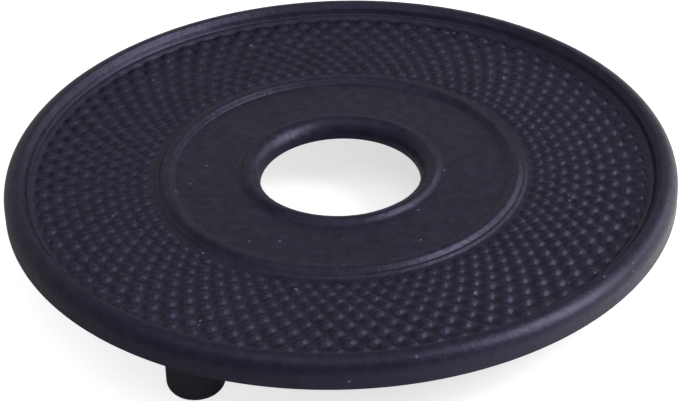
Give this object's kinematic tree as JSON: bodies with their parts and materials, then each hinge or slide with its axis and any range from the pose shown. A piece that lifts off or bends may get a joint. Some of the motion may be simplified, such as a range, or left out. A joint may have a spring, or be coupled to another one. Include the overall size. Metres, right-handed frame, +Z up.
{
  "type": "trivet",
  "caption": "Round cast-iron trivet with a raised rim, staggered rings of hobnails, a bead ring, a lipped centre hole and rubber-capped feet.",
  "frame": {"origin": "on the table plane that the three feet stand on, under the centre of the hole", "axes": "+Z up through the plate, -Y the front as the picture shows it, +X to the right, through the middle of the right foot"},
  "size_m": [0.15, 0.15, 0.02],
  "materials": {
    "painted_iron": "satin blue-black paint over a fine sand-cast surface",
    "cap_rubber": "matte moulded rubber"
  },
  "bodies": {
    "root": {"trivet_plate": "painted_iron", "foot_cap_front_left": "cap_rubber", "foot_cap_right": "cap_rubber", "foot_cap_back_left": "cap_rubber"}
  },
  "joints": []
}
